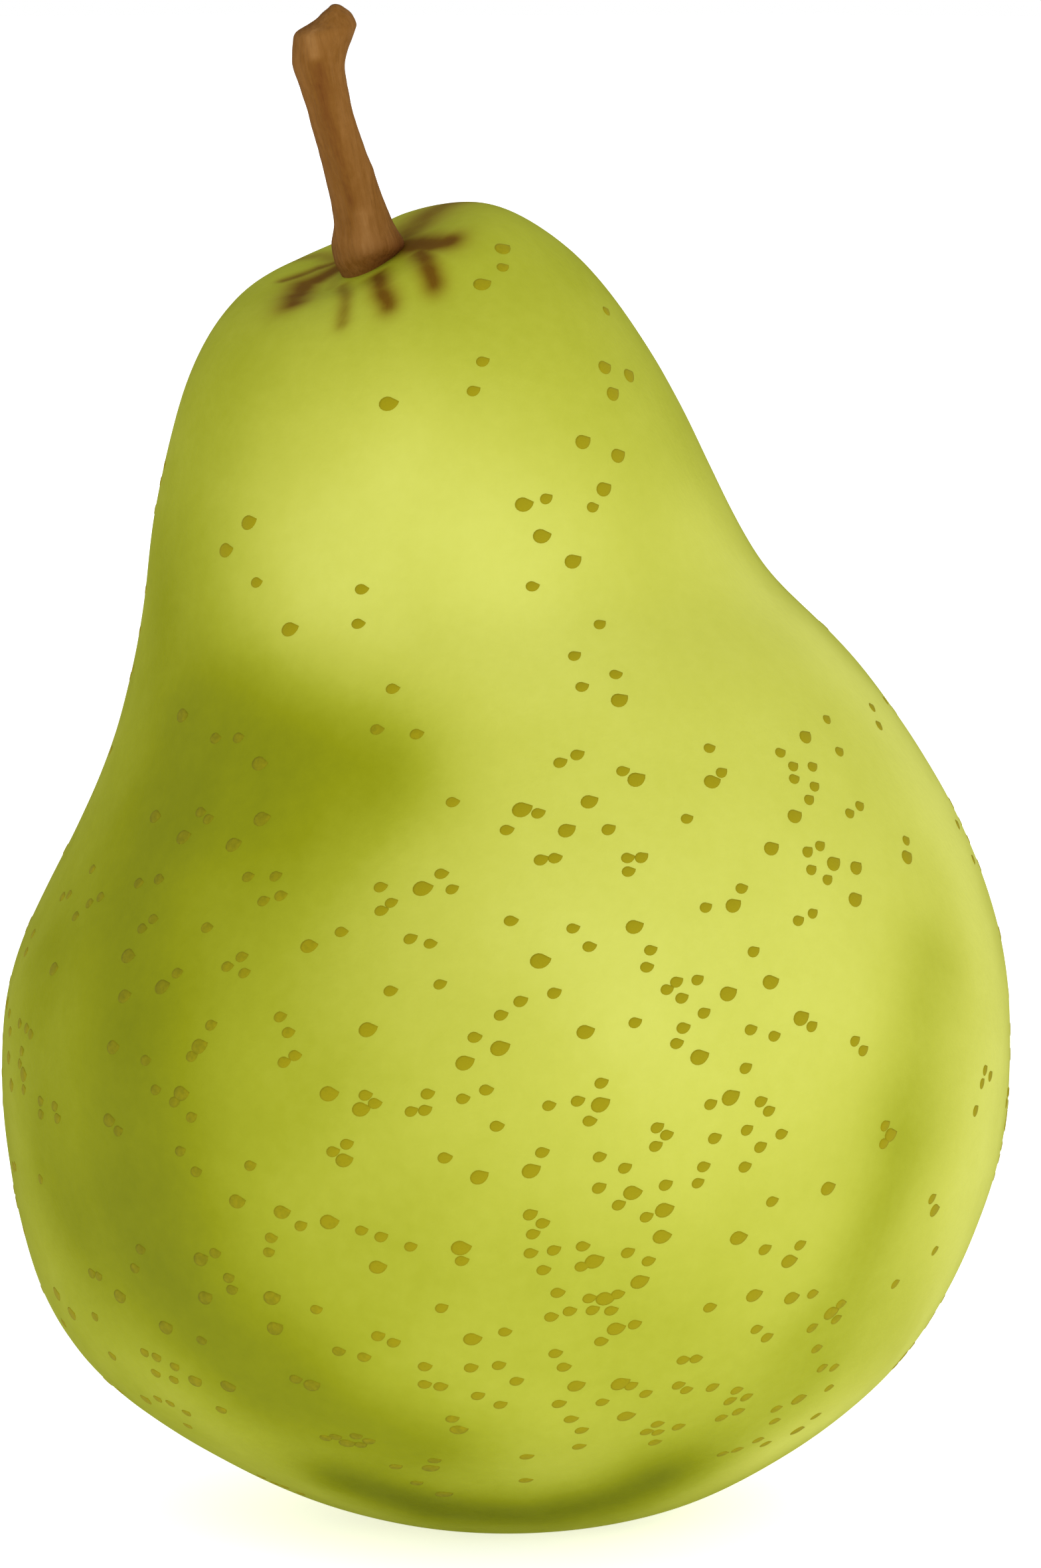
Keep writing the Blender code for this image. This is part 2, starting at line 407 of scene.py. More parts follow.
class Recipe:
    """A material's nodes as they are put together."""

    # Between these two lies nearly all that Blender's noise comes to.
    noise_reach = (0.3, 0.7)

    def __init__(self, name: str) -> None:
        """Starts a material with only its shader.

        Args:
            name: The material's name.
        """
        self.material = bpy.data.materials.new(name)
        self.material.use_nodes = True
        self.tree = self.material.node_tree
        self.shader = self.tree.nodes["Principled BSDF"]
        self.coords = self.tree.nodes.new("ShaderNodeTexCoord").outputs["Object"]

    def put(self, socket: bpy.types.NodeSocket, value: object) -> None:
        """Sets or links an input.

        Args:
            socket: The input.
            value: An output to link to it, or its value.
        """
        if isinstance(value, bpy.types.NodeSocket):
            self.tree.links.new(value, socket)
        else:
            socket.default_value = value

    def give(self, **inputs: object) -> None:
        """Sets or links the shader's inputs.

        Args:
            **inputs: An output to link or a value for each input, whose name has _ for each space.
        """
        for name, value in inputs.items():
            self.put(self.shader.inputs[name.replace("_", " ")], value)

    def stretched(self, turn: Point, scale: Point) -> bpy.types.NodeSocket:
        """The piece's own coordinates, turned and then stretched.

        Args:
            turn: The turn about each axis, in degrees.
            scale: How much finer a pattern gets along each axis.

        Returns:
            The new coordinates.
        """
        turned = self.tree.nodes.new("ShaderNodeMapping")
        turned.inputs["Rotation"].default_value = [math.radians(angle) for angle in turn]
        self.put(turned.inputs["Vector"], self.coords)
        scaled = self.tree.nodes.new("ShaderNodeMapping")
        scaled.inputs["Scale"].default_value = scale
        self.put(scaled.inputs["Vector"], turned.outputs["Vector"])
        return scaled.outputs["Vector"]

    def noise(self, grain: Grain, middle: float = 0.0, where: object = None) -> bpy.types.NodeSocket:
        """A number that swings softly at random over the piece.

        Args:
            grain: The pattern.
            middle: What it swings about.
            where: The coordinates, if not the piece's own.

        Returns:
            The number.
        """
        node = self.tree.nodes.new("ShaderNodeTexNoise")
        node.inputs["Scale"].default_value = 1 / (grain.size * MM)
        node.inputs["Detail"].default_value = grain.detail
        self.put(node.inputs["Vector"], self.coords if where is None else where)
        ends = (middle - grain.swing, middle + grain.swing)
        return self.between(node.outputs["Fac"], self.noise_reach, ends)

    def between(
        self, value: object, reach: tuple[float, float], result: tuple[float, float]
    ) -> bpy.types.NodeSocket:
        """Maps one range of a number onto another, with no overshoot.

        Args:
            value: The number.
            reach: Where it starts and ends.
            result: What it comes to at those two.

        Returns:
            The mapped number.
        """
        node = self.tree.nodes.new("ShaderNodeMapRange")
        self.put(node.inputs["Value"], value)
        for name, number in zip(("From Min", "From Max", "To Min", "To Max"), (*reach, *result)):
            node.inputs[name].default_value = number
        return node.outputs["Result"]

    def layer(self, name: str) -> bpy.types.NodeSocket:
        """Reads numbers that were painted on the piece.

        Args:
            name: The attribute's name.

        Returns:
            The numbers.
        """
        node = self.tree.nodes.new("ShaderNodeAttribute")
        node.attribute_name = name
        return node.outputs["Fac"]

    def combine(self, operation: str, first: object, *others: object) -> bpy.types.NodeSocket:
        """Adds or multiplies numbers.

        Args:
            operation: ADD or MULTIPLY.
            first: The first number.
            *others: The other numbers.

        Returns:
            The result.
        """
        for other in others:
            node = self.tree.nodes.new("ShaderNodeMath")
            node.operation = operation
            self.put(node.inputs[0], first)
            self.put(node.inputs[1], other)
            first = node.outputs["Value"]
        return first

    def ramp(self, value: object, stops: Stops) -> bpy.types.NodeSocket:
        """A colour that depends on a number.

        Args:
            value: The number.
            stops: The numbers at which a colour is given, and the colours.

        Returns:
            The colour.
        """
        node = self.tree.nodes.new("ShaderNodeValToRGB")
        elements = node.color_ramp.elements
        while len(elements) < len(stops):
            elements.new(0.5)
        for element, (position, colour) in zip(elements, stops):
            element.position = position
            element.color = (*colour, 1.0)
        self.put(node.inputs["Fac"], value)
        return node.outputs["Color"]

    def mix(self, share: object, first: object, second: object) -> bpy.types.NodeSocket:
        """A colour between two others.

        Args:
            share: How much of the second there is.
            first: The first colour.
            second: The second colour.

        Returns:
            The mixed colour.
        """
        node = self.tree.nodes.new("ShaderNodeMix")
        node.data_type = "RGBA"
        self.put(node.inputs["Factor"], share)
        colours = {"A_Color": first, "B_Color": second}
        for socket in node.inputs:
            if socket.identifier in colours:
                self.put(socket, colours[socket.identifier])
        return next(socket for socket in node.outputs if socket.identifier == "Result_Color")

    def relief(self, grain: Grain, where: object = None) -> None:
        """Gives the surface a fine relief.

        Args:
            grain: Its pattern, whose swing is its depth in millimetres.
            where: The coordinates, if not the piece's own.
        """
        node = self.tree.nodes.new("ShaderNodeBump")
        node.inputs["Distance"].default_value = grain.swing * MM
        self.put(node.inputs["Height"], self.noise(Grain(grain.size, 0.5, grain.detail), 0.5, where))
        self.give(Normal=node.outputs["Normal"])


# How much light falls on the pear's front, how much its gloss lays over every colour, and the least that a
# pigment reflects.
LIGHT_LEVEL = 1.40
VEIL = 0.009
DARKEST = 0.002


def pigment(red: int, green: int, blue: int) -> Colour:
    """The pigment that looks like this colour in the studio's light.

    Args:
        red: The red part of what is seen, from 0 to 255.
        green: Its green part.
        blue: Its blue part.

    Returns:
        The pigment's linear parts.
    """
    return tuple(max(part - VEIL, DARKEST) / LIGHT_LEVEL for part in shade(red, green, blue))


@dataclass(frozen=True)
class SkinFinish:
    """Waxy fruit skin, from deep olive to pale yellow-green by a tone that also carries painted light and
    shade, with brown russet near the stem.
    """

    roughness: float = 0.50
    russet_roughness: float = 0.85
    gloss: float = 0.35
    wax_index: float = 1.2
    # How much light goes into the flesh, and how many metres each of its colours gets there.
    glow: float = 0.05
    glow_depth: Point = (0.0022, 0.0020, 0.0006)
    mottle: Grain = Grain(9.0, 0.035, 3.0)
    fine_mottle: Grain = Grain(0.9, 0.012)
    russet_breaks: Grain = Grain(1.6, 0.07, 3.0)
    satin: Grain = Grain(4.0, 0.06)
    pores: Grain = Grain(0.45, 0.012, 3.0)
    # The tone's colours: the skin's own olive and yellow-green, with the deepest standing for painted shade
    # and the palest for painted highlights.
    tones: Stops = (
        (0.00, pigment(112, 117, 20)),
        (0.15, pigment(131, 138, 24)),
        (0.32, pigment(153, 159, 29)),
        (0.50, pigment(173, 179, 48)),
        (0.66, pigment(192, 197, 70)),
        (0.82, pigment(206, 210, 86)),
        (1.00, pigment(221, 225, 106)),
    )
    russets: Stops = (
        (0.00, pigment(152, 142, 26)),
        (0.45, pigment(138, 112, 24)),
        (1.00, pigment(116, 82, 18)),
    )

    def make(self) -> bpy.types.Material:
        """Puts the material together.

        Returns:
            The material.
        """
        recipe = Recipe("pear_skin")
        mottles = (recipe.noise(grain) for grain in (self.mottle, self.fine_mottle))
        # The tone carries the skin's own colour and its painted light, shade and highlights; the mottles are
        # the skin's own.
        tone = recipe.combine("ADD", recipe.layer("tone"), *mottles)
        russet = recipe.combine("MULTIPLY", recipe.layer("russet"), recipe.noise(self.russet_breaks, 1.0))
        colour = recipe.mix(
            recipe.between(russet, (0.0, 0.9), (0.0, 1.0)),
            recipe.ramp(tone, self.tones),
            recipe.ramp(russet, self.russets),
        )
        duller = self.russet_roughness - self.roughness - self.satin.swing
        dull = recipe.between(russet, (0.1, 0.8), (0.0, duller))
        roughness = recipe.combine("ADD", recipe.noise(self.satin, self.roughness), dull)
        recipe.relief(self.pores)
        recipe.give(
            Base_Color=colour,
            Roughness=roughness,
            Specular_IOR_Level=self.gloss,
            IOR=self.wax_index,
            Subsurface_Weight=self.glow,
            Subsurface_Radius=self.glow_depth,
            Subsurface_Scale=1.0,
        )
        return recipe.material


@dataclass(frozen=True)
class LenticelFinish:
    """The corky spots of the skin, olive brown, and darker where the skin is darker, in its own tone and in
    its painted shade.
    """

    roughness: float = 0.72
    gloss: float = 0.1
    grain: Grain = Grain(0.35, 0.10)
    cork: Grain = Grain(0.2, 0.01)
    # The spots' colours by the skin's tone: the darker ones are spots in the skin's painted shade.
    tones: Stops = (
        (0.00, pigment(122, 120, 8)),
        (0.30, pigment(144, 140, 8)),
        (0.55, pigment(164, 154, 8)),
        (1.00, pigment(165, 153, 8)),
    )

    def make(self) -> bpy.types.Material:
        """Puts the material together.

        Returns:
            The material.
        """
        recipe = Recipe("lenticel")
        # Each spot's tone is the skin's at its place, painted shade included.
        tone = recipe.combine("ADD", recipe.layer("tone"), recipe.noise(self.grain))
        recipe.relief(self.cork)
        colour = recipe.ramp(tone, self.tones)
        recipe.give(Base_Color=colour, Roughness=self.roughness, Specular_IOR_Level=self.gloss)
        return recipe.material


@dataclass(frozen=True)
class BarkFinish:
    """Brown, finely fibred bark whose streaks run along the stem, with painted light and shade laid in its
    tone.
    """

    roughness: float = 0.68
    gloss: float = 0.12
    lean: Point = (0.0, 12.0, 0.0)
    stretch: Point = (1.0, 1.0, 0.10)
    fibres: Grain = Grain(0.30, 0.07, 3.0)
    bands: Grain = Grain(1.3, 0.05)
    flecks: Grain = Grain(0.5, 0.03)
    cracks: Grain = Grain(0.22, 0.05, 3.0)
    ruddy: Colour = pigment(116, 64, 36)
    tones: Stops = (
        (0.00, pigment(92, 52, 22)),
        (0.28, pigment(121, 73, 31)),
        (0.52, pigment(137, 91, 38)),
        (0.75, pigment(154, 107, 54)),
        (1.00, pigment(174, 128, 74)),
    )

    def make(self) -> bpy.types.Material:
        """Puts the material together.

        Returns:
            The material.
        """
        recipe = Recipe("stem_bark")
        along = recipe.stretched(self.lean, self.stretch)
        lengthwise = (recipe.noise(grain, where=along) for grain in (self.fibres, self.bands))
        # The stem's tone carries its painted light and shade; the fibres, bands and flecks are the bark's
        # own.
        tone = recipe.combine("ADD", recipe.layer("tone"), *lengthwise, recipe.noise(self.flecks))
        colour = recipe.mix(recipe.layer("ruddy"), recipe.ramp(tone, self.tones), (*self.ruddy, 1.0))
        recipe.relief(self.cracks, along)
        recipe.give(Base_Color=colour, Roughness=self.roughness, Specular_IOR_Level=self.gloss)
        return recipe.material


@dataclass(frozen=True)
class DryFinish:
    """Dry, papery flower parts: dark brown with paler, worn places."""

    name: str
    dark: Colour
    pale: Colour
    roughness: float = 0.88
    gloss: float = 0.2
    stretch: Point = (1.0, 1.0, 0.3)
    veins: Grain = Grain(0.5, 0.5, 4.0)
    creases: Grain = Grain(0.25, 0.06, 3.0)

    def make(self) -> bpy.types.Material:
        """Puts the material together.

        Returns:
            The material.
        """
        recipe = Recipe(self.name)
        veins = recipe.noise(self.veins, 0.5, recipe.stretched((0, 0, 0), self.stretch))
        colour = recipe.ramp(veins, ((0.1, self.dark), (0.9, self.pale)))
        recipe.relief(self.creases)
        recipe.give(Base_Color=colour, Roughness=self.roughness, Specular_IOR_Level=self.gloss)
        return recipe.material


# --- The fruit -------------------------------------------------------------------------------------------


def distance_to_line(points: np.ndarray, line: np.ndarray) -> np.ndarray:
    """How far points are from a line of straight stretches.

    Args:
        points: The points, one to a row.
        line: The line's corners, one to a row.

    Returns:
        The distances.
    """
    if len(line) == 1:
        return np.linalg.norm(points - line[0], axis=1)
    nearest = np.full(len(points), np.inf)
    for start, end in zip(line[:-1], line[1:]):
        step = end - start
        share = np.clip((points - start) @ step / (step @ step), 0, 1)
        nearest = np.minimum(nearest, np.linalg.norm(points - start - share[:, None] * step, axis=1))
    return nearest


@dataclass(frozen=True)
class Stroke:
    """A soft stroke of one tone along a path on a surface: 0 is its darkest tone and 1 its palest.

    Its cover is the share of what is there that it hides along its middle.
    """

    tone: float
    cover: float
    width: float
    path: tuple[Point, ...]

    def over(self, tones: np.ndarray, points: np.ndarray) -> np.ndarray:
        """Paints the stroke over what is there.

        Args:
            tones: The tones so far.
            points: Where they are, in millimetres.

        Returns:
            The new tones.
        """
        away = distance_to_line(points, np.array(self.path, float))
        share = self.cover * np.exp(-((away / self.width) ** 2))
        return tones + share * (self.tone - tones)


@dataclass(frozen=True)
class Streak:
    """A soft russet streak that runs out from the stem: bearings from the front, in degrees, and reaches."""

    strength: float
    width: float
    path: Pairs

    def amount(self, plan: np.ndarray) -> np.ndarray:
        """How much russet the streak leaves.

        Args:
            plan: Where, as seen from above, from the middle of the stem's foot.

        Returns:
            The amounts, from 0 to its strength.
        """
        line = [
            (reach * math.sin(math.radians(bearing)), -reach * math.cos(math.radians(bearing)))
            for bearing, reach in self.path
        ]
        away = distance_to_line(plan, np.array(line))
        return self.strength * np.exp(-((away / self.width) ** 2))


# The skin's tone, from 0 for deep olive to 1 for pale yellow-green, and what is painted over it in turn: the
# skin's own paler and deeper places, and painted light, shade and highlights.
BASE_TONE = 0.60

LIGHT_SHADE_AND_TONE_STROKES = (
    # The back and the sides: the skin's own paler and deeper places, which also carry the front's painted
    # light and shade round to the sides.
    Stroke(0.84, 0.85, 17.0, ((16, 27, 56), (24, 24, 38), (14, 30, 24))),
    Stroke(0.45, 0.80, 15.0, ((-18, 26, 52), (-22, 24, 32), (-12, 26, 16))),
    Stroke(0.82, 0.70, 9.0, ((-6, 14, 78), (-2, 18, 70))),
    Stroke(0.50, 0.75, 13.0, ((-34, 6, 44), (-31, 6, 26))),
    Stroke(0.88, 0.85, 12.0, ((33, 6, 50), (35, 6, 34), (29, 8, 16))),
    # The front, in painted light and shade: the pale places first, which are painted highlights and lit
    # sides.
    Stroke(0.95, 0.95, 19.0, ((8, -31, 48), (13, -32, 41), (20, -27, 48))),
    Stroke(0.84, 0.90, 10.0, ((-4, -25, 61), (6, -24, 62), (16, -18, 64))),
    Stroke(1.00, 0.95, 7.0, ((33, -12, 26), (35, -9, 38), (32, -9, 52))),
    Stroke(1.00, 0.85, 6.0, ((14, -8, 72), (22, -7, 63), (31, -5, 52))),
    Stroke(0.98, 0.90, 5.5, ((33, -9, 22), (28, -8, 12), (20, -14, 7))),
    Stroke(0.59, 0.80, 10.0, ((-4, -33, 25), (9, -31, 18))),
    Stroke(0.53, 0.85, 9.0, ((-17, -30, 42), (-14, -31, 27))),
    Stroke(0.51, 0.90, 9.0, ((-15, -6, 86), (-4, -10, 89), (5, -6, 88))),
    Stroke(0.62, 0.80, 7.0, ((9, -7, 84), (12, -7, 78))),
    Stroke(0.99, 0.95, 9.5, ((-10, -19, 69.5), (-7, -20, 74), (-1, -20, 71))),
    Stroke(0.51, 0.90, 6.0, ((-20, -8, 83), (-23, -8, 74))),
    Stroke(0.38, 0.90, 6.0, ((-24, -9, 68), (-27, -9, 59), (-30, -10, 54))),
    # The painted shade down the deep left side, with a paler painted rim along its edge, and the painted
    # shadow under the neck.
    Stroke(0.54, 0.90, 5.5, ((-31, -10, 54), (-35, -8, 45), (-36, -6, 34), (-33, -9, 20), (-26, -14, 11))),
    Stroke(0.32, 0.85, 5.0, ((-32, -12, 42), (-32, -15, 36), (-32, -16, 28), (-29, -19, 21))),
    Stroke(0.19, 0.92, 8.0, ((-22, -18, 56), (-26, -19, 47), (-25, -24, 40), (-25, -25, 28))),
    Stroke(0.17, 0.90, 6.4, ((-25, -25, 26), (-22, -26, 20), (-17, -28, 15))),
    Stroke(0.23, 0.84, 7.2, ((-21, -18, 56), (-16, -23.5, 52.5))),
    Stroke(0.24, 0.85, 5.4, ((-21, -17, 57.5), (-15, -22.5, 57.5), (-9, -26, 57))),
    Stroke(0.25, 0.88, 4.8, ((-17, -28, 14.5), (-6, -27, 10))),
    # The painted shade in a band down the right side, and the painted shade in a crescent at the bottom,
    # where the pear meets the floor.
    Stroke(0.82, 0.70, 3.6, ((30, -15, 47), (29.5, -18, 43))),
    Stroke(0.58, 0.85, 4.0, ((29.5, -18, 42), (28.7, -20.5, 38), (27.9, -22, 34))),
    Stroke(0.47, 0.90, 3.6, ((27.3, -22.8, 30), (26, -23.5, 25), (24, -23.5, 20), (21, -23, 15))),
    Stroke(0.52, 0.85, 4.0, ((22, -23.2, 18), (20.5, -23, 14.5), (16, -22.5, 10), (11, -22.5, 8))),
    Stroke(
        0.12,
        0.95,
        4.4,
        ((-10.5, -20.6, 5.8), (-5, -18.6, 4.0), (2, -17.8, 3.3), (7.5, -18.8, 4.6), (10.6, -20.3, 6.2)),
    ),
    # The underside, darker towards the base: painted shade, and the greener calyx end.
    Stroke(0.40, 0.70, 9.0, ((0, 0, 0),)),
)

STREAKS = (
    Streak(0.95, 1.5, ((-150, 2.5), (-130, 3.0), (-108, 4.5), (-75, 5.0), (-56, 6.0))),
    Streak(0.85, 0.6, ((-150, 3.5), (-136, 5.0), (-116, 6.5))),
    Streak(0.66, 0.66, ((-40, 2.5), (-12, 6.0), (-10, 8.5))),
    Streak(0.92, 0.95, ((14, 3.5), (10, 7.0), (12, 8.5))),
    Streak(1.00, 1.45, ((88, 2.5), (62, 4.5), (55, 6.0), (57, 7.0))),
    Streak(0.90, 1.0, ((49, 5.0), (36, 7.5), (33, 9.0))),
    Streak(0.78, 2.8, ((112, 2.5), (120, 4.0), (125, 5.5), (129, 7.5))),
    Streak(0.80, 0.9, ((172, 2.5), (176, 6.0), (168, 8.5))),
    Streak(0.60, 0.8, ((215, 2.5), (208, 6.5), (212, 9.0))),
    Streak(0.40, 0.9, ((60, 2.5), (120, 2.5), (180, 2.5), (240, 2.5), (300, 2.5))),
)


@dataclass
class Fruit:
    """The fruit's skin, lofted through its rings, cut flat where it rests, and painted with its tone, its
    painted light and shade, and its russet.
    """

    half_width: float = far_corner("pear_body").y
    height: float = far_corner("pear_body").z
    ring_points: int = 12
    rounding: int = 4
    lump_size: float = 14.0
    lump_height: float = 0.22
    groove_depth: float = 0.08
    # The share of the height over which there is russet, the least amount of it that sinks the skin, and the
    # height at which the skin's unevenness starts and the stretch over which it grows.
    russet_from: float = 0.8
    least_groove: float = 0.004
    even_up_to: float = 1.0
    uneven_over: float = 6.0
    crease: float = 50.0
    # Each ring's leftmost and rightmost points (x in shares of half_width, z in shares of height), how far it
    # is moved to the front in shares of half_width, and how far its back is lifted, in degrees.
    rings: Rows = (
        (-0.345, 0.009, 0.352, 0.009, 0.0, 0.0),
        (-0.532, 0.039, 0.520, 0.039, 0.0, 0.0),
        (-0.774, 0.099, 0.733, 0.099, 0.0, 0.0),
        (-0.921, 0.173, 0.878, 0.173, 0.0, 0.0),
        (-0.984, 0.267, 0.975, 0.267, 0.0, 0.0),
        (-1.000, 0.344, 1.000, 0.344, 0.0, 0.0),
        (-0.972, 0.425, 0.987, 0.425, 0.0, 0.0),
        (-0.864, 0.513, 0.917, 0.513, 0.0, 0.0),
        (-0.775, 0.593, 0.803, 0.593, 0.0, 0.0),
        (-0.730, 0.661, 0.668, 0.661, 0.0, 0.0),
        (-0.710, 0.712, 0.535, 0.712, 0.002, 0.5),
        (-0.692, 0.764, 0.445, 0.766, 0.010, 2.0),
        (-0.656, 0.828, 0.348, 0.842, 0.028, 4.0),
        (-0.608, 0.881, 0.262, 0.899, 0.055, 6.5),
        (-0.538, 0.920, 0.173, 0.944, 0.082, 9.0),
        (-0.466, 0.935, 0.075, 0.977, 0.104, 11.0),
        (-0.403, 0.938, -0.036, 0.996, 0.122, 12.0),
        (-0.358, 0.941, -0.145, 0.984, 0.133, 14.0),
        (-0.322, 0.947, -0.226, 0.964, 0.138, 16.0),
    )
    # The basin, from the middle of its floor out to its rim: radius and height.
    basin: Pairs = (
        (1.20, 5.60),
        (3.00, 5.60),
        (4.44, 5.25),
        (5.88, 3.49),
        (7.08, 0.92),
        (7.80, -0.25),
    )

    def outer_hoops(self) -> list[Hoop]:
        """Works out the hoops outside the base's rim.

        Returns:
            The hoops, from just outside the rim to the stem's foot.
        """
        hoops = []
        for left_x, left_z, right_x, right_z, forward, nod in self.rings:
            left = Vector((left_x * self.half_width, left_z * self.height))
            right = Vector((right_x * self.half_width, right_z * self.height))
            middle, half = (left + right) / 2, (right - left) / 2
            deep = half.length * Vector((math.cos(math.radians(nod)), math.sin(math.radians(nod))))
            middle = (middle.x, -forward * self.half_width, middle.y)
            hoops.append(Hoop(middle, (half.x, 0.0, half.y), (0.0, *deep)))
        return hoops

    def stem_foot(self) -> Vector:
        """Where the stem stands, in millimetres."""
        return Vector(self.outer_hoops()[-1].middle)

    def build(self) -> bpy.types.Object:
        """Models the skin.

        Returns:
            The skin's object, painted with its tone, painted light and shade included, and its russet.
        """
        inner = [level_hoop(radius, height) for radius, height in self.basin]
        cage = through(inner + self.outer_hoops(), self.ring_points)
        skin = loft("skin", cage, self.ring_points)
        smooth(skin, self.rounding)
        self.cut_base(skin)
        self.paint(skin)
        return skin

    def cut_base(self, skin: bpy.types.Object) -> None:
        """Cuts the rim flat where the pear rests, and closes the cut with a flat ring.

        Args:
            skin: The skin's object.
        """
        take(skin)
        bpy.ops.object.mode_set(mode="EDIT")
        bpy.ops.mesh.select_all(action="SELECT")
        bpy.ops.mesh.bisect(plane_co=(0, 0, 0), plane_no=(0, 0, 1), clear_inner=True, threshold=1e-7)
        bpy.ops.mesh.bridge_edge_loops()
        bpy.ops.object.mode_set(mode="OBJECT")
        face_outwards(skin)

    def paint(self, skin: bpy.types.Object) -> None:
        """Presses the grooves of the russet streaks in, makes the skin a little uneven, and paints its russet
        and its tone, with the painted light and shade.

        Args:
            skin: The skin's object.
        """
        points = points_of(skin)
        plan = points[:, :2] - np.array(self.stem_foot()[:2])
        russet = np.max([streak.amount(plan) for streak in STREAKS], axis=0)
        russet[points[:, 2] < self.russet_from * self.height] = 0.0
        above_rim = np.clip((points[:, 2] - self.even_up_to) / self.uneven_over, 0, 1)
        for name, weights in (("groove", russet), ("free", above_rim)):
            group = skin.vertex_groups.new(name=name)
            for index in np.nonzero(weights > self.least_groove)[0]:
                group.add([int(index)], float(weights[index]), "REPLACE")
        work(skin, "DISPLACE", strength=-self.groove_depth * MM, mid_level=0.0, vertex_group="groove")
        roughen(skin, self.lump_size, self.lump_height, "free")
        skin.vertex_groups.clear()
        paint_on(skin, "russet", russet)
        # The tone carries the skin's own colour and its painted light, shade and highlights.
        paint_on(skin, "tone", tones_and_painted_light_at(points))
        dress(skin, SkinFinish().make(), self.crease)


def tones_and_painted_light_at(points: np.ndarray) -> np.ndarray:
    """The skin's tone at places on it, with its painted light and shade.

    Args:
        points: The places, in millimetres.

    Returns:
        The tones, from 0 for deep olive to 1 for pale yellow-green, painted light and shade included.
    """
    tones = np.full(len(points), BASE_TONE)
    for stroke in LIGHT_SHADE_AND_TONE_STROKES:
        tones = stroke.over(tones, points)
    return tones


# --- The lenticels ---------------------------------------------------------------------------------------


